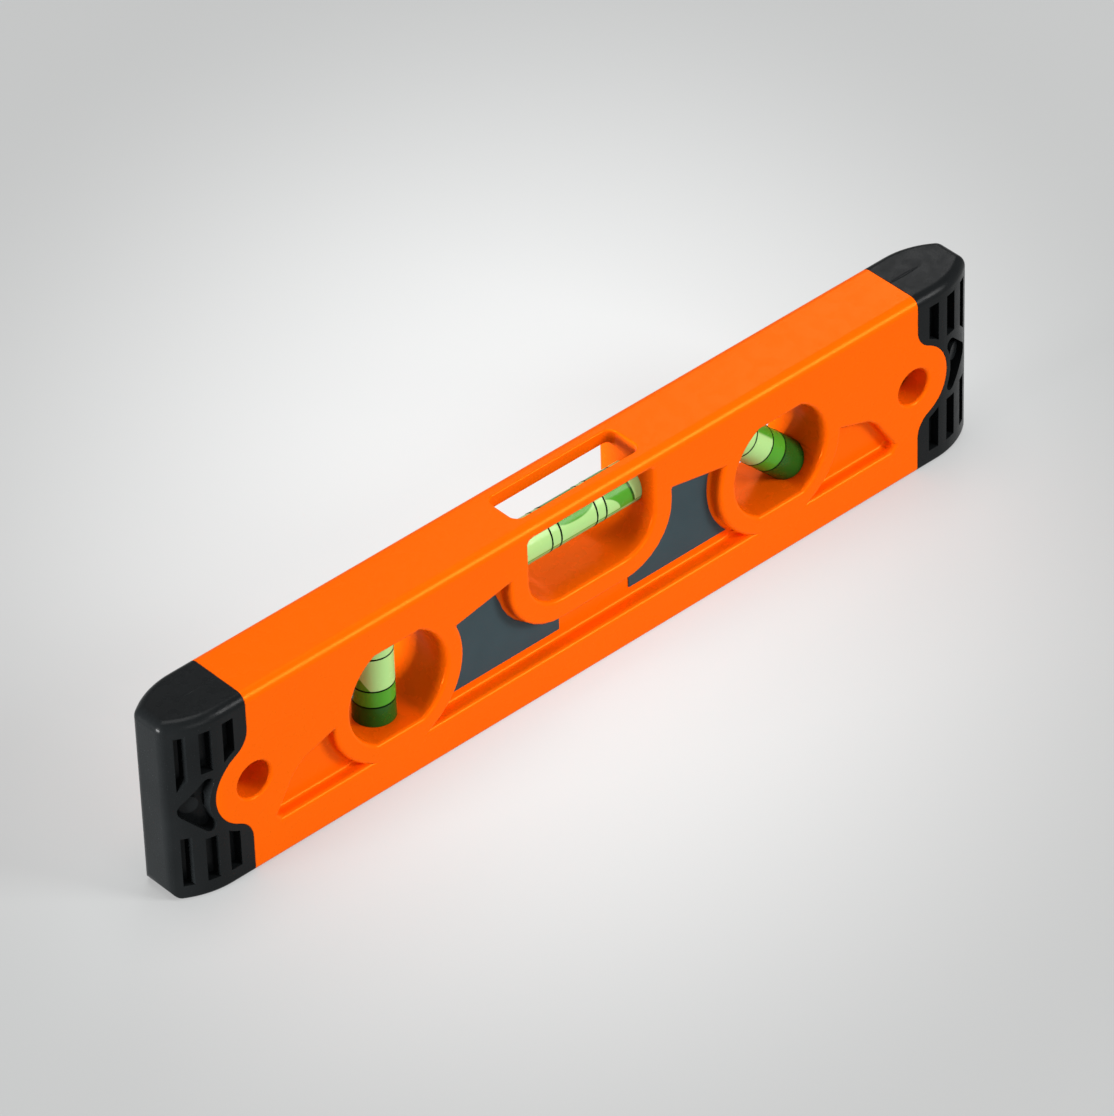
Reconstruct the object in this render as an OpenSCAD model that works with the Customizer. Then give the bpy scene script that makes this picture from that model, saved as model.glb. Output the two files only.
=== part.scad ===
// Magnetic torpedo spirit level, 9 inch.
// X runs along the length, Y through the thickness with the front face at -Y, Z up from the base.
// The origin is the middle of the base face.

/* [Overall] */
// Length over both end caps
length = 229; // [200:1:260]
// Height from the base to the top face
height = 47; // [46.5:0.5:54]
// Thickness of the body, front face to back face
thickness = 17.5; // [16.5:0.5:21]

/* [Body] */
// Radius along the two long top edges
top_edge_r = 2.4; // [1:0.1:3.2]
// Radius along the two long base edges
base_edge_r = 1; // [0.4:0.1:2]
// Height of the lower edge of the front and back recesses
recess_base_z = 9.6; // [7:0.1:11]
// Depth of the long middle recess below the face
recess_depth = 3.7; // [2:0.1:4.2]
// Depth of the small recess next to each end
side_recess_depth = 3.1; // [1.5:0.1:4]
// Radius of the raised boss round each round well
well_boss_r = 18; // [15.8:0.1:19]
// Width of the rim left round the middle window
window_rim = 5.5; // [3:0.1:6]

/* [Wells] */
// Distance from the middle to the axis of each round well
well_x = 54.6; // [51:0.1:58]
// Height of the axis of the round wells
well_z = 25.2; // [24:0.1:27]
// Radius of the round wells
well_r = 13.3; // [12.4:0.1:14.5]
// Distance from the well axis up and down to its flats
well_flat = 11.8; // [10:0.1:12.2]
// Width of the middle window
window_w = 35.4; // [30:0.1:40]
// Height of the floor of the middle window
window_base_z = 23.4; // [22:0.1:26]
// Thickness of the bridge between the middle window and the top face
bridge_t = 3.4; // [2.4:0.1:3.8]
// Radius of the two lower corners of the middle window
window_corner_r = 9; // [4:0.5:12]
// Width of the reading slot in the top face
top_slot_w = 9.7; // [7:0.1:10.5]
// Radius of the corners of the reading slot
top_slot_r = 2.2; // [1:0.1:3]

/* [Hang tabs] */
// Diameter of the hang hole at each end
hang_hole_d = 8.8; // [6:0.1:10]
// Depth of the bevel round the hang holes
hang_bevel = 0.5; // [0.2:0.1:0.8]
// Height of the axis of the hang holes
tab_z = 23.8; // [22:0.1:26]
// Radius of the round tab that runs into each end cap
tab_r = 10.2; // [8.5:0.1:10.8]
// Distance of the tab axis inside the straight part of the seam
tab_inset = 1.2; // [0.5:0.1:2.5]
// Radius of the hollow corners between tab and seam
tab_fillet_r = 6; // [4:0.1:7]
// Half thickness of the tongue that holds each end cap
tongue_half_t = 2.6; // [1.6:0.1:2.8]
// How far the tongue reaches into the end cap past the straight seam
tongue_reach = 12.4; // [10.5:0.1:13]
// Height of the tongue
tongue_h = 26; // [22:0.5:30]

/* [End caps] */
// Length of each end cap outside the straight part of the seam
cap_length = 19; // [18.7:0.1:20.5]
// Distance from the seam at which the cap starts to taper
taper_start = 6; // [5:0.1:7.5]
// Plan radius of the taper
taper_r = 20; // [18.5:0.1:24]
// Plan radius of the upright corners at the end
cap_corner_r = 2.5; // [1.5:0.1:3]
// Radius of the edges of the end face at top and base
cap_end_r = 3.5; // [2:0.1:5]
// Width of the upright grip slots
slot_w = 2.9; // [2:0.1:3.2]
// Spacing of the grip slots
slot_pitch = 5.55; // [5.2:0.05:5.7]
// Distance from the seam to the first grip slot
slot_start = 3.4; // [2.6:0.1:3.6]
// Depth of the grip slots
slot_depth = 2.4; // [1:0.1:2.5]
// Margin between the grip slots and the top and base of the cap
slot_margin = 3.8; // [3:0.1:5]
// Wall between the tab and the slots and hollow that follow it
tab_wall = 1.6; // [1.2:0.1:2]
// Depth of the three-cornered hollow in the middle of the cap
hollow_depth = 2.6; // [1.5:0.1:2.8]
// Half height of the three-cornered hollow
hollow_half_h = 7; // [6:0.1:7.6]
// Distance from the seam to the outer corner of the hollow
hollow_reach = 16.9; // [15:0.1:17.2]
// Radius of the outer corner of the hollow
hollow_tip_r = 2.6; // [2.3:0.1:3]
// Wall between the tab and the hollow
hollow_wall = 1.3; // [1:0.1:1.6]
// Diameter of the round pad on the floor of the hollow
pad_d = 4.2; // [2.5:0.1:4.4]
// Height of the round pad
pad_h = 1.2; // [0.3:0.1:1.4]

/* [Vials] */
// Outer diameter of the vial tubes
vial_d = 9.5; // [8:0.1:9.6]
// Wall of the vial tubes
vial_wall = 1.3; // [0.8:0.1:1.8]
// Distance from the top face down to the axis of the level vial
level_vial_drop = 11.7; // [11:0.1:13]
// Depth of the sockets beyond the walls of the window
level_seat = 2.4; // [1.5:0.1:4]
// Depth of the sockets of the upright vial beyond the flats of its well
plumb_seat = 2; // [1.2:0.1:3]
// Depth of the sockets of the slanted vial beyond the wall of its well
angle_seat = 1.4; // [1:0.1:3]
// Length of the plug at each end of a vial
plug_l = 2.6; // [1.5:0.1:3.5]
// Width of the read-off rings
ring_w = 0.4; // [0.2:0.05:0.8]
// Depth of the grooves that hold the rings
ring_groove = 0.15; // [0.1:0.05:0.3]
// How far the rings stand proud of the tube
ring_proud = 0.05; // [0.02:0.01:0.15]
// Distance of the inner rings of the level vial from its middle
level_ring_inner = 5.1; // [4:0.1:6]
// Distance of the outer rings of the level vial from its middle
level_ring_outer = 7.7; // [6.8:0.1:10]
// Distance of the inner rings of the upright vial from the middle of their set
plumb_ring_inner = 4.3; // [3:0.1:5]
// Distance of the outer rings of the upright vial from the middle of their set
plumb_ring_outer = 8.6; // [6:0.1:9.6]
// How far the rings of the upright vial sit above the middle of the vial
plumb_ring_shift = 1.9; // [0:0.1:3]
// Distance of the inner rings of the slanted vial from the middle of their set
angle_ring_inner = 3.3; // [2.6:0.1:5]
// Distance of the outer rings of the slanted vial from the middle of their set
angle_ring_outer = 8.4; // [6:0.1:9.2]
// How far the rings of the slanted vial sit above the middle of the vial
angle_ring_shift = 2.9; // [0:0.1:3.4]
// Length of the bubble in the level vial
bubble_l = 9; // [6:0.1:10]
// Depth of the bubble in the level vial
bubble_h = 2.6; // [1.5:0.1:3.2]
// Depth of the empty space at the upper end of the upright vial
plumb_bubble_l = 6; // [3:0.1:8]
// Depth of the empty space at the upper end of the slanted vial, straight down
angle_bubble_l = 6.5; // [4:0.1:8]

/* [Labels] */
// Thickness of the label film
label_t = 0.25; // [0.15:0.05:0.5]
// Gap between the label and the lower edge of the recess
label_base_gap = 2.4; // [1:0.1:3]
// Gap between the label and the boss round the round wells
label_side_gap = 0.8; // [0.3:0.1:1.5]
// Gap between the label and the upper edge of the recess
label_top_gap = 0.5; // [0.3:0.1:2]
// Radius of the curved inner edge of the labels
label_curve_r = 26.1; // [24.5:0.1:28]
// Height of the curved inner edge above the base of the labels, in the middle of the level
label_tail_h = 1.9; // [1:0.1:2.6]
// Distance from the middle to the tip of the tail of the left label
left_tail_x = 7.2; // [5:0.1:12]
// Distance from the middle to the tip of the tail of the right label
right_tail_x = 12.8; // [5:0.1:14]

/* [Magnets] */
// Length of each magnet
magnet_l = 42; // [20:1:46]
// Width of each magnet
magnet_w = 8; // [5:0.5:10]
// Height of each magnet
magnet_h = 5; // [3:0.5:6]
// Distance from the middle to the middle of each magnet
magnet_x = 52; // [46:1:60]
// How far the magnets sit inside the base face
magnet_inset = 0.2; // [0.1:0.05:0.5]

/* [Fits] */
// Gap between a vial tube and its sockets, on the radius
socket_gap = 0.1; // [0.05:0.01:0.2]
// Gap between the liquid or the plug and the bore of its tube, on the radius
bore_gap = 0.03; // [0.02:0.01:0.1]
// Gap round the tongue inside the end cap
tongue_gap = 0.15; // [0.05:0.01:0.3]
// Gap round the magnets in their pockets
magnet_gap = 0.1; // [0.05:0.01:0.3]

/* [Hidden] */

// Overlap of a cutting tool past the surface it cuts
cut = 1;
half_t = thickness / 2;
seam_x = length / 2 - cap_length;
tab_x = seam_x - tab_inset;
// Points on a quarter turn of an outline
arc_steps = 8;
// Facets of full circles
fine = 96;

// Points of an arc from angle a0 to a1 about c
function arc(c, r, a0, a1, n = arc_steps) =
    [for (i = [0:n]) c + r * [cos(a0 + (a1 - a0) * i / n), sin(a0 + (a1 - a0) * i / n)]];

// Section through the body, in Y and Z
function slab_section() = concat(
    arc([-half_t + base_edge_r, base_edge_r], base_edge_r, 180, 270, 4),
    arc([half_t - base_edge_r, base_edge_r], base_edge_r, 270, 360, 4),
    arc([half_t - top_edge_r, height - top_edge_r], top_edge_r, 0, 90),
    arc([-half_t + top_edge_r, height - top_edge_r], top_edge_r, 90, 180));

// A section in Y and Z drawn out along X
module along_x(x0, x1) {
    translate([x0, 0, 0])
        rotate([90, 0, 90])
            linear_extrude(x1 - x0)
                children();
}

// An outline in X and Z drawn out along Y
module along_y(y0, y1) {
    translate([0, y1, 0])
        rotate([90, 0, 0])
            linear_extrude(y1 - y0)
                children();
}

// The same cut in the front face and in the back face
module both_faces() {
    children();
    mirror([0, 1, 0])
        children();
}

// Seam between body and cap: the middle of each hollow corner, and where it leaves the straight seam
fillet_x = seam_x + tab_fillet_r;
fillet_dz = sqrt(pow(tab_r + tab_fillet_r, 2) - pow(fillet_x - tab_x, 2));
fillet_turn = atan2(fillet_dz, fillet_x - tab_x);

// The right half of the body outline, in X and Z
function seam_outline() = concat(
    [[0, -cut], [seam_x, -cut]],
    arc([fillet_x, tab_z - fillet_dz], tab_fillet_r, 180, 180 - fillet_turn),
    arc([tab_x, tab_z], tab_r, -fillet_turn, fillet_turn, 3 * arc_steps),
    arc([fillet_x, tab_z + fillet_dz], tab_fillet_r, 180 + fillet_turn, 180),
    [[seam_x, height + cut], [0, height + cut]]);

module seam_shape() {
    polygon(seam_outline());
    mirror([1, 0])
        polygon(seam_outline());
}

// Middle window: flat floor, two large lower corners, small upper corners
window_top_z = height - bridge_t;
window_top_r = 1.2;

function window_outline() = concat(
    arc([window_w / 2 - window_corner_r, window_base_z + window_corner_r],
        window_corner_r, -90, 0),
    arc([window_w / 2 - window_top_r, window_top_z - window_top_r], window_top_r, 0, 90, 4),
    arc([-window_w / 2 + window_top_r, window_top_z - window_top_r], window_top_r, 90, 180, 4),
    arc([-window_w / 2 + window_corner_r, window_base_z + window_corner_r],
        window_corner_r, 180, 270));

// Reading slot in the top face, in X and Y
top_slot_x = window_w / 2 - top_slot_r;
top_slot_y = top_slot_w / 2 - top_slot_r;

function top_slot_outline() = concat(
    arc([top_slot_x, -top_slot_y], top_slot_r, -90, 0),
    arc([top_slot_x, top_slot_y], top_slot_r, 0, 90),
    arc([-top_slot_x, top_slot_y], top_slot_r, 90, 180),
    arc([-top_slot_x, -top_slot_y], top_slot_r, 180, 270));

// Round well with a flat above and below
module well_shape() {
    intersection() {
        circle(r = well_r, $fn = fine);
        square([3 * well_r, 2 * well_flat], center = true);
    }
}

// Middle recess: between the bosses, below a slanting upper edge
recess_top_z = 35.1;
recess_top_fall = 2.8;
recess_top_run = 15;
boss_corner_r = window_corner_r + window_rim;

module boss_outline(grow) {
    polygon(concat(
        arc([window_w / 2 - window_corner_r, window_base_z + window_corner_r],
            boss_corner_r + grow, -90, 0),
        [[window_w / 2 + window_rim + grow, height], [-window_w / 2 - window_rim - grow, height]],
        arc([-window_w / 2 + window_corner_r, window_base_z + window_corner_r],
            boss_corner_r + grow, 180, 270)));
}

function recess_edge_z(x) =
    recess_top_z - recess_top_fall * (abs(x) - window_w / 2 - window_rim) / recess_top_run;

module middle_recess_shape(side_gap, base_gap, top_gap) {
    difference() {
        polygon([
            [-well_x, recess_base_z + base_gap], [well_x, recess_base_z + base_gap],
            [well_x, recess_edge_z(well_x) - top_gap],
            [window_w / 2, recess_edge_z(window_w / 2) - top_gap],
            [-window_w / 2, recess_edge_z(window_w / 2) - top_gap],
            [-well_x, recess_edge_z(well_x) - top_gap]]);
        for (side = [-1, 1])
            translate([side * well_x, well_z])
                circle(r = well_boss_r + side_gap, $fn = fine);
    }
}

module middle_recess() {
    along_y(-half_t - cut, -half_t + recess_depth)
        difference() {
            middle_recess_shape(0, 0, 0);
            boss_outline(0);
        }
}

// Small recess between each round well and its hang hole
side_recess_reach = seam_x - well_x - 7;
side_recess_top = 14.5;

module side_recess() {
    along_y(-half_t - cut, -half_t + side_recess_depth)
        difference() {
            polygon([
                [well_x, recess_base_z],
                [well_x + side_recess_reach - 1, recess_base_z],
                [well_x + side_recess_reach, recess_base_z + 1.4],
                [well_x + side_recess_reach - 5.3, recess_base_z + 9.8],
                [well_x + side_recess_reach - 7.8, recess_base_z + 11.8],
                [well_x + side_recess_reach - 15.9, recess_base_z + side_recess_top],
                [well_x, recess_base_z + side_recess_top]]);
            translate([well_x, well_z])
                circle(r = well_boss_r, $fn = fine);
        }
}

// Vial places. Each vial is modelled along Z about its middle
level_vial_z = height - level_vial_drop;
vial_r = vial_d / 2;
bore_r = vial_r - vial_wall;
level_half = window_w / 2 + level_seat;
plumb_half = well_flat + plumb_seat;
angle_half = sqrt(well_r * well_r - vial_r * vial_r) + angle_seat;

module level_place() {
    translate([0, 0, level_vial_z])
        rotate([0, 90, 0])
            children();
}

module plumb_place() {
    translate([-well_x, 0, well_z])
        children();
}

module angle_place() {
    translate([well_x, 0, well_z])
        rotate([0, -45, 0])
            children();
}

module socket_pair(half) {
    cylinder(r = vial_r + socket_gap, h = 2 * half, center = true, $fn = fine);
}

// Tongue of the body that runs into the end cap, drawn for the right end
module tongue(gap) {
    translate([tab_x, -tongue_half_t - gap, tab_z - tongue_h / 2 - gap])
        cube([tongue_reach + tab_inset + gap, 2 * (tongue_half_t + gap), tongue_h + 2 * gap]);
}

// Outline of the right end seen from above, moved inwards by k
function corner_r(k) = max(cap_corner_r - k, 0.02);
taper_x = seam_x + taper_start;
taper_y = -half_t + taper_r;
function corner_x(k) = length / 2 - k - corner_r(k);
function corner_y(k) =
    taper_y - sqrt(pow(taper_r - k - corner_r(k), 2) - pow(corner_x(k) - taper_x, 2));
function corner_turn(k) = atan2(corner_y(k) - taper_y, corner_x(k) - taper_x);
function end_front(k) = concat(
    [[0, -half_t + k]],
    arc([taper_x, taper_y], taper_r - k, -90, corner_turn(k), 12),
    arc([corner_x(k), corner_y(k)], corner_r(k), corner_turn(k), 0, 6));
function end_plan(k) = concat(
    end_front(k),
    [for (i = [len(end_front(k)) - 1:-1:0]) [end_front(k)[i][0], -end_front(k)[i][1]]]);

// Space between the two tapered faces, moved inwards by k
module end_core(k) {
    translate([0, 0, -cut])
        linear_extrude(height + 2 * cut)
            polygon(end_plan(k));
}

module body() {
    color("#FC6404")
        difference() {
            union() {
                intersection() {
                    along_x(-length / 2, length / 2)
                        polygon(slab_section());
                    along_y(-half_t - cut, half_t + cut)
                        seam_shape();
                    union() {
                        end_core(0);
                        mirror([1, 0, 0])
                            end_core(0);
                    }
                }
                for (side = [0, 1])
                    mirror([side, 0, 0])
                        tongue(0);
            }
            both_faces() {
                middle_recess();
                for (side = [0, 1])
                    mirror([side, 0, 0])
                        side_recess();
            }
            // Window, wells and hang holes
            along_y(-half_t - cut, half_t + cut)
                polygon(window_outline());
            for (side = [-1, 1]) {
                translate([side * well_x, 0, well_z])
                    along_y(-half_t - cut, half_t + cut)
                        well_shape();
                translate([side * tab_x, half_t + cut, tab_z])
                    rotate([90, 0, 0])
                        cylinder(d = hang_hole_d, h = thickness + 2 * cut, $fn = fine);
                both_faces()
                    translate([side * tab_x, -half_t + hang_bevel, tab_z])
                        rotate([90, 0, 0])
                            cylinder(d1 = hang_hole_d, d2 = hang_hole_d + 4 * hang_bevel,
                                h = 2 * hang_bevel, $fn = fine);
            }
            // Reading slot above the level vial
            translate([0, 0, level_vial_z])
                linear_extrude(height)
                    polygon(top_slot_outline());
            // Sockets for the three vials
            level_place()
                socket_pair(level_half);
            plumb_place()
                socket_pair(plumb_half);
            angle_place()
                socket_pair(angle_half);
            // Magnet pockets, open at the base
            for (side = [-1, 1])
                translate([side * magnet_x - magnet_l / 2 - magnet_gap, -magnet_w / 2 - magnet_gap, -cut])
                    cube([magnet_l + 2 * magnet_gap, magnet_w + 2 * magnet_gap,
                        cut + magnet_inset + magnet_h]);
        }
}

// End cap, drawn for the right end
function edge_inset(r, a) = r * (1 - cos(a));
function edge_rise(r, a) = r * (1 - sin(a));
slice_t = 0.01;

module end_slice(k, z) {
    translate([0, 0, z])
        linear_extrude(slice_t)
            intersection() {
                polygon(end_plan(k));
                translate([seam_x - cut, -thickness])
                    square([cap_length + 2 * cut, 2 * thickness]);
            }
}

// Tapered block with all its edges rounded
module cap_block() {
    intersection() {
        hull() {
            for (i = [0:arc_steps])
                end_slice(edge_inset(top_edge_r, 90 * i / arc_steps),
                    height - slice_t - edge_rise(top_edge_r, 90 * i / arc_steps));
            for (i = [0:4])
                end_slice(edge_inset(base_edge_r, 90 * i / 4), edge_rise(base_edge_r, 90 * i / 4));
        }
        along_y(-half_t - cut, half_t + cut)
            polygon(concat(
                [[seam_x - 2 * cut, -cut], [length / 2 - cap_end_r, -cut]],
                arc([length / 2 - cap_end_r, cap_end_r], cap_end_r, -90, 0),
                [[length / 2 + cut, cap_end_r], [length / 2 + cut, height + cut],
                    [seam_x - 2 * cut, height + cut]]));
    }
}

// Rows of upright slots above and below the tab. Each ends at the wall round tab or hollow,
// at one distance from the tab's middle on its inner side and at one on its outer side
outer_slot_w = slot_w - 0.7;
middle_slot_end = hollow_half_h + tab_wall + 0.1;
upper_ends = [[0, 0], [middle_slot_end, middle_slot_end],
    [hollow_half_h + 0.7, hollow_half_h - 1.7]];
lower_ends = [[0, 0], [middle_slot_end, middle_slot_end],
    [hollow_half_h + 0.3, hollow_half_h + 0.3]];

module slot_rows() {
    for (i = [0:2]) {
        x0 = seam_x + slot_start + i * slot_pitch;
        x1 = x0 + (i == 2 ? outer_slot_w : slot_w);
        polygon([[x0, tab_z + upper_ends[i][0]], [x1, tab_z + upper_ends[i][1]],
            [x1, height - slot_margin], [x0, height - slot_margin]]);
        polygon([[x0, slot_margin], [x1, slot_margin],
            [x1, tab_z - lower_ends[i][1]], [x0, tab_z - lower_ends[i][0]]]);
    }
}

// Three-cornered hollow: two corners beside the tab and a wide one towards the end
hollow_corner_r = 1.4;
hollow_in_x = seam_x + slot_start + slot_pitch + 0.15 + hollow_corner_r;
hollow_out_x = seam_x + hollow_reach - hollow_tip_r;
hollow_dx = hollow_out_x - hollow_in_x;
hollow_dz = hollow_half_h - hollow_corner_r;
hollow_turn = atan2(hollow_dx, hollow_dz)
    + asin((hollow_tip_r - hollow_corner_r) / norm([hollow_dx, hollow_dz]));

module hollow_shape() {
    difference() {
        polygon(concat(
            arc([hollow_in_x, tab_z + hollow_dz], hollow_corner_r, hollow_turn, 180, 6),
            arc([hollow_in_x, tab_z - hollow_dz], hollow_corner_r, 180, 360 - hollow_turn, 6),
            arc([hollow_out_x, tab_z], hollow_tip_r, -hollow_turn, hollow_turn)));
        translate([tab_x, tab_z])
            circle(r = tab_r + hollow_wall, $fn = fine);
    }
}

pad_x = seam_x + 14;
pad_z = tab_z + 0.4;

module cap_pattern() {
    difference() {
        along_y(-half_t - cut, 0)
            difference() {
                slot_rows();
                translate([tab_x, tab_z])
                    circle(r = tab_r + tab_wall, $fn = fine);
            }
        end_core(slot_depth);
    }
    difference() {
        along_y(-half_t - cut, 0)
            hollow_shape();
        end_core(hollow_depth);
        intersection() {
            translate([pad_x, 0, pad_z])
                rotate([90, 0, 0])
                    cylinder(d = pad_d, h = half_t, $fn = 48);
            end_core(hollow_depth - pad_h);
        }
    }
}

module end_cap() {
    color("#2D2F31")
        difference() {
            cap_block();
            along_y(-half_t - cut, half_t + cut)
                seam_shape();
            tongue(tongue_gap);
            both_faces()
                cap_pattern();
        }
}

// Parts of a vial, along Z about its middle
module vial_tube(half, rings) {
    color("#B8E88C", 0.5)
        difference() {
            cylinder(r = vial_r, h = 2 * half, center = true, $fn = fine);
            cylinder(r = bore_r, h = 2 * half + 2 * cut, center = true, $fn = fine);
            for (s = rings)
                translate([0, 0, s])
                    ring_body(vial_r - ring_groove, vial_r + cut);
        }
}

module ring_body(r0, r1) {
    difference() {
        cylinder(r = r1, h = ring_w, center = true, $fn = fine);
        cylinder(r = r0, h = 2 * ring_w, center = true, $fn = fine);
    }
}

// The rings stand in the grooves, with a little air under them
module vial_rings(rings) {
    color("#1E3A16")
        for (s = rings)
            translate([0, 0, s])
                ring_body(vial_r - ring_groove + 0.02, vial_r + ring_proud);
}

module vial_plug(half, side) {
    color("#8FCB5E")
        translate([0, 0, side * (half - plug_l / 2)])
            cylinder(r = bore_r - bore_gap, h = plug_l, center = true, $fn = fine);
}

module liquid_fill(half) {
    cylinder(r = bore_r - bore_gap, h = 2 * (half - plug_l), center = true, $fn = fine);
}

level_rings = [-level_ring_outer, -level_ring_inner, level_ring_inner, level_ring_outer];
function short_rings(inner, outer, shift) = [shift - outer, shift - inner, shift + inner, shift + outer];
plumb_rings = short_rings(plumb_ring_inner, plumb_ring_outer, plumb_ring_shift);
angle_rings = short_rings(angle_ring_inner, angle_ring_outer, angle_ring_shift);

// The bubble of the level vial is a round-ended space along the top of the bore
bubble_r = 2.7;

module level_vial_liquid() {
    color("#8CD44E", 0.8)
        level_place()
            difference() {
                liquid_fill(level_half);
                translate([-(bore_r - bubble_h + bubble_r), 0, 0]) {
                    cylinder(r = bubble_r, h = bubble_l - 2 * bubble_r, center = true, $fn = 48);
                    for (side = [-1, 1])
                        translate([0, 0, side * (bubble_l / 2 - bubble_r)])
                            sphere(r = bubble_r, $fn = 48);
                }
            }
}

// In the short vials the liquid ends in a level surface below the upper plug
module plumb_vial_liquid() {
    color("#8CD44E", 0.8)
        difference() {
            plumb_place()
                liquid_fill(plumb_half);
            translate([-well_x - well_r, -well_r, well_z + plumb_half - plug_l - plumb_bubble_l])
                cube([2 * well_r, 2 * well_r, 2 * well_r]);
        }
}

angle_top = (angle_half - plug_l) * sin(45) + bore_r * cos(45);

module angle_vial_liquid() {
    color("#8CD44E", 0.8)
        difference() {
            angle_place()
                liquid_fill(angle_half);
            translate([well_x - 2 * well_r, -well_r, well_z + angle_top - angle_bubble_l])
                cube([4 * well_r, 2 * well_r, 2 * well_r]);
        }
}

// Label film on the floor of the middle recess, drawn for the right side
label_base_z = recess_base_z + label_base_gap;

module label(tail_x) {
    color("#3E505C")
        along_y(-half_t + recess_depth - label_t, -half_t + recess_depth)
            difference() {
                intersection() {
                    middle_recess_shape(label_side_gap, label_base_gap, label_top_gap);
                    translate([tail_x, 0])
                        square([well_x, height]);
                }
                translate([0, label_base_z + label_tail_h + label_curve_r])
                    circle(r = label_curve_r, $fn = 2 * fine);
                boss_outline(label_side_gap);
            }
}

module magnet(side) {
    color("#6E7072")
        translate([side * magnet_x - magnet_l / 2, -magnet_w / 2, magnet_inset])
            cube([magnet_l, magnet_w, magnet_h]);
}

body();
mirror([1, 0, 0]) end_cap();  // end_cap_left
end_cap();  // end_cap_right
level_place() vial_tube(level_half, level_rings);  // level_vial_tube
level_vial_liquid();
level_place() vial_plug(level_half, -1);  // level_vial_plug_left
level_place() vial_plug(level_half, 1);  // level_vial_plug_right
level_place() vial_rings(level_rings);  // level_vial_rings
plumb_place() vial_tube(plumb_half, plumb_rings);  // plumb_vial_tube
plumb_vial_liquid();
plumb_place() vial_plug(plumb_half, 1);  // plumb_vial_plug_top
plumb_place() vial_plug(plumb_half, -1);  // plumb_vial_plug_base
plumb_place() vial_rings(plumb_rings);  // plumb_vial_rings
angle_place() vial_tube(angle_half, angle_rings);  // angle_vial_tube
angle_vial_liquid();
angle_place() vial_plug(angle_half, 1);  // angle_vial_plug_top
angle_place() vial_plug(angle_half, -1);  // angle_vial_plug_base
angle_place() vial_rings(angle_rings);  // angle_vial_rings
mirror([1, 0, 0]) label(left_tail_x);  // label_left
label(right_tail_x);  // label_right
magnet(-1);  // magnet_left
magnet(1);  // magnet_right
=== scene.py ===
"""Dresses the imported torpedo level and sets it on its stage."""
from math import cos, pi, radians, sin

import bmesh
import bpy
from mathutils import Matrix, Vector


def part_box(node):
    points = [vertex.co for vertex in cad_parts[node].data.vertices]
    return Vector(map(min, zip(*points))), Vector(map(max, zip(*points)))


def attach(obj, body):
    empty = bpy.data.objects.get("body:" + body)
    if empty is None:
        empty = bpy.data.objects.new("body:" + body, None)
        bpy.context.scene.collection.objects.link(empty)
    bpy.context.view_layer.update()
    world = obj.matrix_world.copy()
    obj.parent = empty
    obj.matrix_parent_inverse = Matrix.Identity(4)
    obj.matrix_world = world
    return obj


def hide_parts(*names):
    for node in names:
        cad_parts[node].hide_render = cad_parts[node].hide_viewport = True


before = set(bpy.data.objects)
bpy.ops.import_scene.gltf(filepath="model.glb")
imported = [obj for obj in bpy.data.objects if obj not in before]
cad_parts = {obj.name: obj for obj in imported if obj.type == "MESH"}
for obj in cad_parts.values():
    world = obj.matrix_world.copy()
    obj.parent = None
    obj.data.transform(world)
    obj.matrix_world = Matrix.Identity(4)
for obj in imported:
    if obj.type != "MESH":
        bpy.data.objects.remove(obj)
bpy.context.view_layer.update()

bl_info = {
    "name": "Torpedo Level Dressing",
    "version": (1, 0, 0),
    "blender": (4, 5, 0),
    "location": "View3D > Sidebar > Level",
    "description": "Moulded body, grip caps, vials and labels of a torpedo level, with its stage",
    "category": "Object",
}

MM = 0.001

# An edge is rounded where its faces meet at more than SHARP. Corners within SAME_PLACE become one,
# and so do faces that meet at less than FLAT. A spun mesh keeps a crease above CREASE.
SHARP = radians(31)
SAME_PLACE = 2e-6
FLAT = radians(0.4)
CREASE = radians(35)
SPIN_STEPS = 64

# Places on the body, measured from its middle to either side and up from its base. The base, the
# seams and the hang holes get SEAM_SHARE of the full rounding, the sockets of the vials none, the
# top slot SLOT_SHARE, and the edges that run across the bridge BRIDGE_END_SHARE.
HANG_X, HANG_Z, HANG_R = 94.3 * MM, 23.8 * MM, 4.4 * MM
HANG_BAND = 1.3 * HANG_R
SEAM_BAND = 88 * MM
BASE_BAND = 6 * MM
SOCKET_BAND = 4.95 * MM
BRIDGE_Z = 43 * MM
BRIDGE_END_Z = BRIDGE_Z - 2 * MM
SEAM_SHARE = 0.2
SLOT_SHARE = 0.35
BRIDGE_END_SHARE = 0.15

# The mould line on top of each cap: its middle, its half length in x, its half size in z, and how
# far it stands up.
MOULD_LINE_X, MOULD_LINE_Z = 99.6 * MM, 47 * MM
MOULD_LINE_HALF, MOULD_LINE_DEPTH = 3.6 * MM, 1 * MM
MOULD_LINE_HEIGHT = 0.12 * MM

# The slant of the third vial, the chamfer at a tube's ends, the gap between a ring and the floor of its
# groove, and the half size across the tube of the painted patches of shade and highlight, which go straight
# through a tube.
SLANT = radians(-45)
TUBE_CHAMFER = 0.25 * MM
RING_GAP = 0.01 * MM
THROUGH = 1.0

# The painted pool of light on the floor, and the share of the floor's brightness that is left past its
# reach.
POOL_PLACE, POOL_TURN, POOL_STRETCH = (0.02, 0.037, 0), radians(-43), (1, 1.466, 1)
POOL_REACH, POOL_EDGE = 0.164, 0.564

# Strength of the even light where the camera sees it.
SKY_SEEN = 0.6

# Name, place, width, height and power of each lamp, in metres and watts, and where they all aim.
LAMPS = (
    ("front", (0.97, -1.43, 0.79), 0.6, 0.8, 27.5),
    ("fill", (-0.1, -1.9, 0.4), 0.8, 0.8, 7.5),
    ("above", (0.1, 0.15, 1.6), 0.9, 0.9, 13.5),
    ("end", (-1.2, 0.12, 0.07), 0.5, 0.1, 40),
    ("back", (1.3, 1.1, 1.26), 0.5, 0.5, 3),
)
LAMP_AIM = (0, 0, 0.02)


# Sizes and colours

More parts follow.
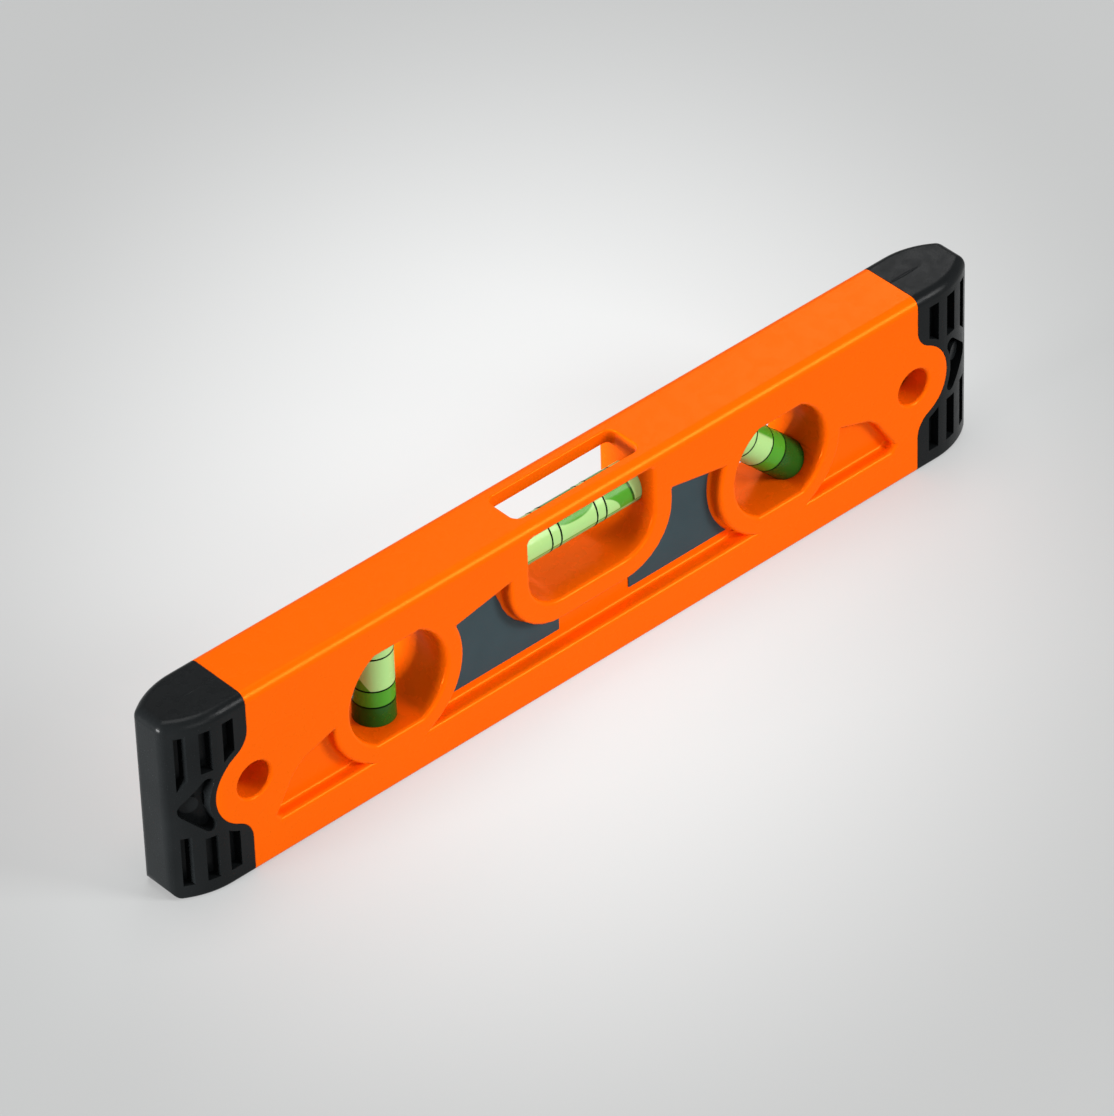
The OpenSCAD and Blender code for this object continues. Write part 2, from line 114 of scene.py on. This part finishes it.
def length(name, description, default):
    """A size in metres, shown in the panel."""
    return bpy.props.FloatProperty(
        name=name, description=description, default=default, min=0, max=0.3,
        precision=5, subtype="DISTANCE", unit="LENGTH")


def colour(name, description, default):
    """A colour in linear light."""
    return bpy.props.FloatVectorProperty(
        name=name, description=description, default=default, size=3, min=0, max=1, subtype="COLOR")


class LevelShell(bpy.types.PropertyGroup):
    """Body, caps, labels and magnets."""
    body_edge: length("Body edge", "Rounding round the recesses, wells and window", 1.0 * MM)
    cap_edge: length("Cap edge", "Rounding of the edges of the grip caps", 0.3 * MM)
    label_edge: length("Label edge", "Rounding of the edge of the label film", 0.07 * MM)
    magnet_edge: length("Magnet edge", "Rounding of the edges of the magnets", 0.3 * MM)
    parting_line: length("Parting line", "Half width of the mould line on top of the caps", 0.28 * MM)
    orange: colour("Body orange", "Colour of the body", (0.93, 0.122, 0.0005))
    glow: colour("Body highlight", "Tint of the highlights on the body", (1.0, 0.6, 0.5))
    black: colour("Cap black", "Colour of the caps", (0.0068, 0.0078, 0.0083))
    slate: colour("Label slate", "Colour of the labels", (0.038, 0.061, 0.07))
    ferrite: colour("Magnet grey", "Colour of the magnets", (0.06, 0.06, 0.062))


class LevelVials(bpy.types.PropertyGroup):
    """The three vials."""
    wall: length("Tube wall", "Wall of the vial tubes", 1.3 * MM)
    ring_width: length("Ring width", "Width of the read-off rings", 0.38 * MM)
    ring_proud: length("Ring height", "How far the rings stand proud of the tube", 0.05 * MM)
    ring_groove: length("Ring groove", "Depth of the grooves under the rings", 0.15 * MM)
    # The shade of the bubble is painted shade in the liquid and tube of the level vial.
    bubble_length: length("Bubble length", "Length of the shade of the bubble in the level vial", 10.8 * MM)
    bubble_depth: length("Bubble depth", "Depth of the shade of the bubble in the level vial", 1.6 * MM)
    tube_green: colour("Tube green", "Colour of the plugs", (0.62, 0.95, 0.42))
    # Light green is the liquid's own colour and also its painted highlights; mid green and dark green are
    # painted shade in the liquid and the tubes.
    light_green: colour("Light green", "Lightest colour of the liquid", (0.44, 0.75, 0.26))
    painted_shade_green: colour("Mid green", "Middle colour of the liquid", (0.082, 0.35, 0.022))
    painted_deep_shade_green: colour("Dark green", "Darkest colour of the liquid", (0.02, 0.1, 0.008))
    ring_green: colour("Ring green", "Colour of the read-off rings", (0.001, 0.007, 0.001))


class LevelStage(bpy.types.PropertyGroup):
    """Floor, even light and camera."""
    camera_place: bpy.props.FloatVectorProperty(
        name="Camera place", description="Where the camera stands", size=3, subtype="TRANSLATION",
        default=(-0.83865, -0.96188, 1.05461), min=-5, max=5)
    look: bpy.props.FloatVectorProperty(
        name="Look", description="Direction in which the camera looks", size=3, subtype="DIRECTION",
        default=(0.51044, 0.58724, -0.62818))
    right: bpy.props.FloatVectorProperty(
        name="Right", description="Direction to the right of the picture", size=3, subtype="DIRECTION",
        default=(0.74018, -0.67188, -0.02665))
    lens: bpy.props.FloatProperty(
        name="Lens", description="Focal length in millimetres", default=249.8, min=20, max=400)
    floor: colour("Floor", "Colour of the floor", (0.38, 0.39, 0.388))
    floor_glow: bpy.props.FloatProperty(
        name="Floor glow", description="Brightness that the camera sees on the floor besides the lamps",
        default=0.508, min=0, max=1)
    sky: bpy.props.FloatProperty(
        name="Sky", description="Strength of the even light", default=0.35, min=0, max=4)


GROUPS = {"level_shell": LevelShell, "level_vials": LevelVials, "level_stage": LevelStage}


# Materials

class Finish:
    """A material built round one Principled shader, read in object coordinates."""

    def __init__(self, name, base, roughness, **sockets):
        self.material = bpy.data.materials.new(name)
        self.material.use_nodes = True
        self.tree = self.material.node_tree
        self.shader = self.tree.nodes["Principled BSDF"]
        self.shader.inputs["Base Color"].default_value = (*base, 1)
        self.shader.inputs["Roughness"].default_value = roughness
        self.material.diffuse_color = (*base, 1)
        for socket, value in sockets.items():
            self.shader.inputs[socket.replace("_", " ")].default_value = value
        self.place = self.node("ShaderNodeTexCoord").outputs["Object"]
        self.bumped = None

    def node(self, kind, **settings):
        """A new node with its settings."""
        made = self.tree.nodes.new(kind)
        for name, value in settings.items():
            setattr(made, name, value)
        return made

    def link(self, source, target):
        """Joins two sockets."""
        self.tree.links.new(source, target)

    def maths(self, operation, first, second):
        """The result of a Math node on two sockets."""
        made = self.node("ShaderNodeMath", operation=operation)
        self.link(first, made.inputs[0])
        self.link(second, made.inputs[1])
        return made.outputs["Value"]

    def noise(self, scale, detail):
        """Noise with about that number of grains in a metre."""
        made = self.node("ShaderNodeTexNoise")
        made.inputs["Scale"].default_value = scale
        made.inputs["Detail"].default_value = detail
        self.link(self.place, made.inputs["Vector"])
        return made.outputs["Fac"]

    def spread(self, source, low, high, to_low, to_high):
        """Stretches a value smoothly from one range to another."""
        made = self.node("ShaderNodeMapRange", interpolation_type="SMOOTHSTEP")
        for name, value in (("From Min", low), ("From Max", high), ("To Min", to_low), ("To Max", to_high)):
            made.inputs[name].default_value = value
        self.link(source, made.inputs["Value"])
        return made.outputs["Result"]

    def beyond(self, place, direction, reach, soft):
        """1 where a point lies farther than reach from a place in that direction, else 0."""
        moved = self.node("ShaderNodeVectorMath", operation="SUBTRACT")
        moved.inputs[1].default_value = place
        self.link(self.place, moved.inputs[0])
        dot = self.node("ShaderNodeVectorMath", operation="DOT_PRODUCT")
        dot.inputs[1].default_value = direction
        self.link(moved.outputs["Vector"], dot.inputs[0])
        return self.spread(dot.outputs["Value"], reach - soft, reach + soft, 0, 1)

    def distance(self, place, sizes, turn=0.0):
        """How far a point is from a place, in half sizes of an ellipsoid turned about Z."""
        made = self.node("ShaderNodeMapping", vector_type="TEXTURE")
        made.inputs["Location"].default_value = place
        made.inputs["Rotation"].default_value = (0, 0, turn)
        made.inputs["Scale"].default_value = sizes
        self.link(self.place, made.inputs["Vector"])
        far = self.node("ShaderNodeVectorMath", operation="LENGTH")
        self.link(made.outputs["Vector"], far.inputs[0])
        return far.outputs["Value"]

    def within(self, place, sizes, soft=0.1):
        """1 inside an ellipsoid of those half sizes round a place, else 0."""
        return self.spread(self.distance(place, sizes), 1 - soft, 1 + soft, 1, 0)

    def layers(self, base, over):
        """Paints colours over a base colour, each where its mask is 1."""
        under = None
        for mask, rgb in over:
            mix = self.node("ShaderNodeMix", data_type="RGBA")
            mix.inputs["A"].default_value = (*base, 1)
            mix.inputs["B"].default_value = (*rgb, 1)
            if under:
                self.link(under, mix.inputs["A"])
            self.link(mask, mix.inputs["Factor"])
            under = mix.outputs["Result"]
        self.link(under, self.shader.inputs["Base Color"])

    def mottle(self, scale, dark, light):
        """Slow change of colour over the surface."""
        ramp = self.node("ShaderNodeValToRGB")
        for stop, position, rgb in zip(ramp.color_ramp.elements, (0.35, 0.65), (dark, light)):
            stop.position = position
            stop.color = (*rgb, 1)
        self.link(self.noise(scale, 2), ramp.inputs["Fac"])
        self.link(ramp.outputs["Color"], self.shader.inputs["Base Color"])

    def sheen_change(self, scale, low, high):
        """Change of roughness over the surface."""
        self.link(self.spread(self.noise(scale, 4), 0.3, 0.7, low, high), self.shader.inputs["Roughness"])

    def bump(self, mask, height):
        """Raises the surface by a height in metres where the mask is 1."""
        made = self.node("ShaderNodeBump")
        made.inputs["Distance"].default_value = height
        self.link(mask, made.inputs["Height"])
        if self.bumped:
            self.link(self.bumped, made.inputs["Normal"])
        self.bumped = made.outputs["Normal"]
        self.link(self.bumped, self.shader.inputs["Normal"])

    def grain(self, scale, detail, height):
        """Fine grain of a height in metres."""
        self.bump(self.noise(scale, detail), height)


def shade(rgb, factor):
    """A colour made darker or lighter."""
    return tuple(min(1.0, c * factor) for c in rgb)


# Meshes

def show(mesh, name, material, node):
    """Links a finished mesh, which then stands for its CAD node."""
    mesh.materials.clear()
    mesh.materials.append(material)
    piece = bpy.data.objects.new(name, mesh)
    bpy.context.scene.collection.objects.link(piece)
    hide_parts(node)
    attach(piece, "root")
    return piece


def body_rounding(start, end):
    """Share of the full rounding that an edge of the body gets, by its place and direction."""
    place, run = (start + end) / 2, end - start
    x, y, z = abs(place.x), abs(place.y), place.z
    hole = Vector((x - HANG_X, z - HANG_Z)).length
    if z < BASE_BAND or x > SEAM_BAND or hole < HANG_BAND:
        return SEAM_SHARE
    if y < SOCKET_BAND:
        return 0.0 if z < BRIDGE_Z else SLOT_SHARE
    if z > BRIDGE_END_Z and abs(run.y) > run.length / 2:
        return BRIDGE_END_SHARE
    return 1.0


def dress_node(node, edge, material, segments=2, share=None):
    """A merged copy of a CAD node with its sharp edges rounded, in full or by a share for each."""
    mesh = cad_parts[node].data.copy()
    bm = bmesh.new()
    bm.from_mesh(mesh)
    bmesh.ops.remove_doubles(bm, verts=bm.verts, dist=SAME_PLACE)
    bmesh.ops.dissolve_limit(bm, angle_limit=FLAT, verts=bm.verts, edges=bm.edges)
    bmesh.ops.recalc_face_normals(bm, faces=bm.faces)
    weight = bm.edges.layers.float.new("bevel_weight_edge")
    for line in bm.edges:
        if len(line.link_faces) == 2 and line.calc_face_angle() > SHARP:
            line[weight] = share(line.verts[0].co, line.verts[1].co) if share else 1.0
    bm.to_mesh(mesh)
    bm.free()
    mesh.shade_smooth()
    piece = show(mesh, node + "_dressed", material, node)
    rounding = piece.modifiers.new("edges", "BEVEL")
    rounding.width = edge
    rounding.segments = segments
    rounding.limit_method = "WEIGHT"
    rounding.harden_normals = True
    rounding.use_clamp_overlap = share is None
    flat = piece.modifiers.new("flat faces", "WEIGHTED_NORMAL")
    flat.keep_sharp = True


def spun(profile):
    """A closed ring of that section, (radius, height), turned round Z."""
    bm = bmesh.new()
    verts = [bm.verts.new((r, 0, z)) for r, z in profile]
    edges = [bm.edges.new((verts[i - 1], verts[i])) for i in range(len(verts))]
    bmesh.ops.spin(bm, geom=verts + edges, cent=(0, 0, 0), axis=(0, 0, 1), angle=2 * pi,
                   steps=SPIN_STEPS, use_merge=True, use_duplicate=False)
    bmesh.ops.remove_doubles(bm, verts=bm.verts, dist=1e-7)
    bmesh.ops.recalc_face_normals(bm, faces=bm.faces)
    return bm


def finished(bm, name, place):
    """The mesh of a bmesh, put in its place."""
    bmesh.ops.transform(bm, matrix=place, verts=bm.verts)
    mesh = bpy.data.meshes.new(name)
    bm.to_mesh(mesh)
    bm.free()
    mesh.shade_smooth()
    mesh.set_sharp_from_angle(angle=CREASE)
    return mesh


class Vial:
    """Place and size of one vial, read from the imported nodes."""

    def __init__(self, name, turn, marks):
        self.name = name
        low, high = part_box(name + "_vial_tube")
        reach = (high - low) / 2
        self.middle = (low + high) / 2
        self.radius = (high.y - low.y) / 2
        self.half = reach.z if turn == 0 else reach.x
        if turn == SLANT:
            # A slanted tube's box also holds the width of its ends.
            self.half = reach.x / cos(SLANT) - self.radius
        self.place = Matrix.Translation(self.middle) @ Matrix.Rotation(turn, 4, "Y")
        self.axis = Vector((sin(turn), 0, cos(turn)))
        self.marks = [mark * MM for mark in marks]

    def bands(self, width):
        """Where each ring starts and ends along the tube."""
        return [(mark - width / 2, mark + width / 2) for mark in self.marks]


def vials():
    """The level, plumb and 45 degree vials, with the places of their rings in millimetres."""
    return [
        Vial("level", radians(90), (-7.7, -5.1, 5.1, 7.7)),
        Vial("plumb", 0, (-6.7, -2.4, 6.2, 10.5)),
        Vial("angle", SLANT, (-5.5, -0.4, 6.2, 11.3)),
    ]


def paint_vial(finish, vial, p):
    """The greens of a vial, painted: the shade, highlights and bent light that its liquid, its bubble and
    its walls show, over the liquid's light green.
    """
    light, mid, dark = p.light_green, p.painted_shade_green, p.painted_deep_shade_green
    place, axis = vial.middle, vial.axis

    def past(direction, reach, soft):
        """A mask past a plane across that direction, in millimetres from the vial's middle."""
        return finish.beyond(place, direction, reach * MM, soft * MM)

    if vial.name == "level":
        leaning, down = Vector((1, 0, 0.2)), Vector((0, 0, -1))
        bubble = place + Vector((-0.4 * MM, 0, 3.6 * MM))
        bulge = place + Vector((6.9 * MM, 0, -2 * MM))
        masks = (
            # Painted shade where the bubble lies.
            (finish.within(bubble, (p.bubble_length / 2, THROUGH, p.bubble_depth)), mid),
            # Painted shade at the right end, a pale bulge of painted highlight that reaches into it, and a
            # painted dark line with painted light past it where the plug shows.
            (past(axis, 8, 0.05), mid),
            (finish.within(bulge, (4.8 * MM, THROUGH, 4.6 * MM), soft=0.03), light),
            (past(leaning, 15, 0.1), dark),
            (past(leaning, 15.6, 0.1), light),
            # A painted dark line along the bottom of the tube, and painted shade on the wall under it.
            (past(down, 1.3, 0.05), mid),
            (past(down, 1.6, 0.05), shade(light, 0.7)),
        )
    elif vial.name == "plumb":
        masks = (
            # A slanting patch of painted shade at the left, then deeper painted shade towards the foot.
            (past(Vector((-0.98, 0.89, -1)), 2.7, 0.15), mid),
            (past(-axis, 2.4, 0.1), mid),
            (past(-axis, 6.7, 0.1), dark),
        )
    else:
        across = Vector((axis.z, 0, -axis.x))
        masks = (
            # A strip of painted shade along the upper side, then deeper painted shade towards the foot.
            (past(across, 3, 0.3), mid),
            (past(-axis, 0.4, 0.1), mid),
            (past(-axis, 5.5, 0.3), dark),
        )
    finish.layers(light, masks)


class LEVEL_OT_body(bpy.types.Operator):
    """Orange moulded body with softened edges"""
    bl_idname = "level.body"
    bl_label = "Body"

    def execute(self, context):
        """Makes the body."""
        p = context.scene.level_shell
        finish = Finish("orange_moulding", p.orange, 0.3, Specular_Tint=(*p.glow, 1),
                        Specular_IOR_Level=0.03, Metallic=0.1)
        finish.mottle(45, shade(p.orange, 0.985), p.orange)
        finish.sheen_change(260, 0.24, 0.3)
        finish.grain(1400, 1, 0.003 * MM)
        dress_node("body", p.body_edge, finish.material, 3, body_rounding)
        return {"FINISHED"}


class LEVEL_OT_caps(bpy.types.Operator):
    """Black grip caps with their mould line"""
    bl_idname = "level.caps"
    bl_label = "End caps"

    def execute(self, context):
        """Makes both caps."""
        p = context.scene.level_shell
        finish = Finish("black_grip", p.black, 0.3, Specular_IOR_Level=0.075)
        finish.mottle(60, shade(p.black, 0.85), shade(p.black, 1.1))
        finish.sheen_change(400, 0.25, 0.33)
        finish.grain(3200, 2, 0.02 * MM)
        line_sizes = (MOULD_LINE_HALF, p.parting_line, MOULD_LINE_DEPTH)
        for x in (-MOULD_LINE_X, MOULD_LINE_X):
            finish.bump(finish.within((x, 0, MOULD_LINE_Z), line_sizes, soft=0.6), MOULD_LINE_HEIGHT)
        for side in ("left", "right"):
            dress_node("end_cap_" + side, p.cap_edge, finish.material)
        return {"FINISHED"}


class LEVEL_OT_labels(bpy.types.Operator):
    """Slate label films in the front recess"""
    bl_idname = "level.labels"
    bl_label = "Labels"

    def execute(self, context):
        """Makes both labels."""
        p = context.scene.level_shell
        finish = Finish("slate_film", p.slate, 0.4, Specular_IOR_Level=0.06)
        finish.mottle(90, shade(p.slate, 0.94), shade(p.slate, 1.05))
        finish.sheen_change(700, 0.36, 0.46)
        finish.grain(1500, 2, 0.005 * MM)
        for side in ("left", "right"):
            dress_node("label_" + side, p.label_edge, finish.material)
        return {"FINISHED"}


class LEVEL_OT_magnets(bpy.types.Operator):
    """Bar magnets in the base"""
    bl_idname = "level.magnets"
    bl_label = "Magnets"

    def execute(self, context):
        """Makes both magnets."""
        p = context.scene.level_shell
        finish = Finish("ferrite", p.ferrite, 0.5, Metallic=0.35)
        finish.mottle(900, shade(p.ferrite, 0.75), shade(p.ferrite, 1.25))
        finish.sheen_change(1500, 0.4, 0.7)
        finish.grain(4000, 4, 0.04 * MM)
        for side in ("left", "right"):
            dress_node("magnet_" + side, p.magnet_edge, finish.material)
        return {"FINISHED"}


class LEVEL_OT_tubes(bpy.types.Operator):
    """Clear green tubes of the vials"""
    bl_idname = "level.tubes"
    bl_label = "Vial tubes"

    def execute(self, context):
        """Makes the tubes, with a groove for each ring."""
        p = context.scene.level_vials
        for vial in vials():
            finish = Finish(vial.name + "_acrylic", p.light_green, 0.25,
                            Alpha=0.88, Specular_IOR_Level=0.12)
            finish.sheen_change(500, 0.2, 0.28)
            # The tube carries the same painted shade and highlights as the liquid.
            paint_vial(finish, vial, p)
            outer, half = vial.radius, vial.half
            inner, groove, rim = outer - p.wall, outer - p.ring_groove, outer - TUBE_CHAMFER
            profile = [(inner, -half), (rim, -half), (outer, -half + TUBE_CHAMFER)]
            for low, high in vial.bands(p.ring_width):
                profile += [(outer, low), (groove, low), (groove, high), (outer, high)]
            profile += [(outer, half - TUBE_CHAMFER), (rim, half), (inner, half)]
            name = vial.name + "_vial_tube"
            mesh = finished(spun(profile), name, vial.place)
            show(mesh, name + "_clear", finish.material, name)
        return {"FINISHED"}


class LEVEL_OT_rings(bpy.types.Operator):
    """Read-off rings of the vials"""
    bl_idname = "level.rings"
    bl_label = "Read-off rings"

    def execute(self, context):
        """Makes one piece of rings for each vial."""
        p = context.scene.level_vials
        finish = Finish("ring_print", p.ring_green, 0.5, Specular_IOR_Level=0.03)
        finish.mottle(2000, shade(p.ring_green, 0.8), shade(p.ring_green, 1.2))
        for vial in vials():
            inner, outer = vial.radius - p.ring_groove + RING_GAP, vial.radius + p.ring_proud
            whole = bmesh.new()
            for low, high in vial.bands(p.ring_width):
                band = spun([(inner, low), (outer, low), (outer, high), (inner, high)])
                mesh = bpy.data.meshes.new("band")
                band.to_mesh(mesh)
                band.free()
                whole.from_mesh(mesh)
                bpy.data.meshes.remove(mesh)
            name = vial.name + "_vial_rings"
            mesh = finished(whole, name, vial.place)
            show(mesh, name + "_dark", finish.material, name)
        return {"FINISHED"}


class LEVEL_OT_liquid(bpy.types.Operator):
    """Liquid, bubble and plugs of the vials"""
    bl_idname = "level.liquid"
    bl_label = "Liquid and plugs"

    def execute(self, context):
        """Gives the liquids and the plugs their finish."""
        p = context.scene.level_vials
        plug = Finish("green_plug", p.tube_green, 0.25)
        plug.mottle(300, shade(p.tube_green, 0.9), p.tube_green)
        for vial in vials():
            liquid = Finish(vial.name + "_spirit", p.light_green, 0.12, Specular_IOR_Level=0.3)
            # The liquid carries painted shade and highlights over its light green.
            paint_vial(liquid, vial, p)
            for name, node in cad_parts.items():
                if name.startswith(vial.name + "_vial") and ("_liquid" in name or "_plug_" in name):
                    made = liquid if "_liquid" in name else plug
                    node.data.materials.clear()
                    node.data.materials.append(made.material)
        return {"FINISHED"}


class LEVEL_OT_stage(bpy.types.Operator):
    """Pale floor, soft light and camera"""
    bl_idname = "level.stage"
    bl_label = "Stage"

    def execute(self, context):
        """Makes the floor, the even light, the lamps and the camera."""
        p = context.scene.level_stage
        self.make_floor(p)
        self.make_sky(p)
        for lamp in LAMPS:
            self.make_lamp(*lamp)
        self.make_camera(context, p)
        return {"FINISHED"}

    def make_floor(self, p):
        """A wide floor that keeps its shadow and looks near white to the camera, with a painted pool of
        light round the level.
        """
        bm = bmesh.new()
        bmesh.ops.create_grid(bm, x_segments=1, y_segments=1, size=6)
        mesh = bpy.data.meshes.new("floor")
        bm.to_mesh(mesh)
        bm.free()
        floor = bpy.data.objects.new("floor", mesh)
        bpy.context.scene.collection.objects.link(floor)
        finish = Finish("pale_floor", p.floor, 0.8, Specular_IOR_Level=0.1)
        # Painted pool of light: the floor's colour and its glow grow darker from the middle of the pool out
        # to its edge.
        far = finish.distance(POOL_PLACE, POOL_STRETCH, POOL_TURN)
        painted_pool = finish.spread(far, 0, POOL_REACH, 1, POOL_EDGE)
        paint = finish.node("ShaderNodeMix", data_type="RGBA")
        paint.inputs["A"].default_value = (0, 0, 0, 1)
        paint.inputs["B"].default_value = (*p.floor, 1)
        finish.link(painted_pool, paint.inputs["Factor"])
        finish.link(paint.outputs["Result"], finish.shader.inputs["Base Color"])
        rays = finish.node("ShaderNodeLightPath").outputs
        seen = finish.maths("MAXIMUM", rays["Is Camera Ray"], rays["Is Transmission Ray"])
        seen = finish.maths("MAXIMUM", seen, rays["Is Glossy Ray"])
        brightness = finish.node("ShaderNodeValue").outputs["Value"]
        brightness.default_value = p.floor_glow
        lit = finish.maths("MULTIPLY", finish.maths("MULTIPLY", seen, painted_pool), brightness)
        glow = finish.node("ShaderNodeEmission")
        finish.link(lit, glow.inputs["Strength"])
        both = finish.node("ShaderNodeAddShader")
        finish.link(finish.shader.outputs["BSDF"], both.inputs[0])
        finish.link(glow.outputs["Emission"], both.inputs[1])
        finish.link(both.outputs["Shader"], finish.tree.nodes["Material Output"].inputs["Surface"])
        mesh.materials.append(finish.material)

    def make_sky(self, p):
        """Even light, with a strength of its own where the camera sees it."""
        world = bpy.data.worlds.new("sky")
        bpy.context.scene.world = world
        world.use_nodes = True
        tree = world.node_tree
        back = tree.nodes["Background"]
        back.inputs["Color"].default_value = (1, 1, 1, 1)
        rays = tree.nodes.new("ShaderNodeLightPath")
        seen = tree.nodes.new("ShaderNodeMath")
        seen.operation = "MAXIMUM"
        tree.links.new(rays.outputs["Is Camera Ray"], seen.inputs[0])
        tree.links.new(rays.outputs["Is Transmission Ray"], seen.inputs[1])
        strength = tree.nodes.new("ShaderNodeMapRange")
        strength.inputs["To Min"].default_value = p.sky
        strength.inputs["To Max"].default_value = SKY_SEEN
        tree.links.new(seen.outputs["Value"], strength.inputs["Value"])
        tree.links.new(strength.outputs["Result"], back.inputs["Strength"])

    def make_lamp(self, name, place, width, height, power):
        """A soft lamp aimed at the level."""
        data = bpy.data.lights.new(name, "AREA")
        data.shape = "RECTANGLE"
        data.size = width
        data.size_y = height
        data.energy = power
        lamp = bpy.data.objects.new(name, data)
        lamp.location = place
        lamp.rotation_mode = "QUATERNION"
        lamp.rotation_quaternion = (Vector(LAMP_AIM) - lamp.location).to_track_quat("-Z", "Y")
        bpy.context.scene.collection.objects.link(lamp)

    def make_camera(self, context, p):
        """The camera at the photograph's angle."""
        data = bpy.data.cameras.new("camera")
        data.sensor_fit = "VERTICAL"
        data.sensor_height = 36
        data.sensor_width = 36
        data.lens = p.lens
        data.clip_start = 0.05
        data.clip_end = 50
        camera = bpy.data.objects.new("camera", data)
        look, right = Vector(p.look).normalized(), Vector(p.right).normalized()
        up = right.cross(look).normalized()
        turn = Matrix((right, up, -look)).transposed().to_4x4()
        camera.matrix_world = Matrix.Translation(Vector(p.camera_place)) @ turn
        context.scene.collection.objects.link(camera)
        context.scene.camera = camera
        context.scene.view_settings.view_transform = "Standard"


class LEVEL_PT_panel(bpy.types.Panel):
    """Lists the makers of the level's pieces"""
    bl_idname = "LEVEL_PT_panel"
    bl_label = "Torpedo level"
    bl_space_type = "VIEW_3D"
    bl_region_type = "UI"
    bl_category = "Level"

    def draw(self, context):
        """Draws a button for each operator and a row for each size and colour."""
        for maker in MAKERS:
            self.layout.operator(maker.bl_idname)
        for group in GROUPS:
            box = self.layout.box()
            values = getattr(context.scene, group)
            for name in type(values).__annotations__:
                box.prop(values, name)


MAKERS = (LEVEL_OT_stage, LEVEL_OT_body, LEVEL_OT_caps, LEVEL_OT_labels, LEVEL_OT_magnets, LEVEL_OT_tubes,
          LEVEL_OT_rings, LEVEL_OT_liquid)
CLASSES = (*GROUPS.values(), *MAKERS, LEVEL_PT_panel)


def register():
    """Registers the classes and hangs the sizes on the scene."""
    for made in CLASSES:
        bpy.utils.register_class(made)
    for name, group in GROUPS.items():
        setattr(bpy.types.Scene, name, bpy.props.PointerProperty(type=group))


def unregister():
    """Takes everything off again."""
    for name in GROUPS:
        delattr(bpy.types.Scene, name)
    for made in reversed(CLASSES):
        bpy.utils.unregister_class(made)


def main():
    """Makes every piece."""
    register()
    bpy.ops.level.stage()
    bpy.ops.level.body()
    bpy.ops.level.caps()
    bpy.ops.level.labels()
    bpy.ops.level.magnets()
    bpy.ops.level.tubes()
    bpy.ops.level.rings()
    bpy.ops.level.liquid()


if __name__ == "__main__":
    main()
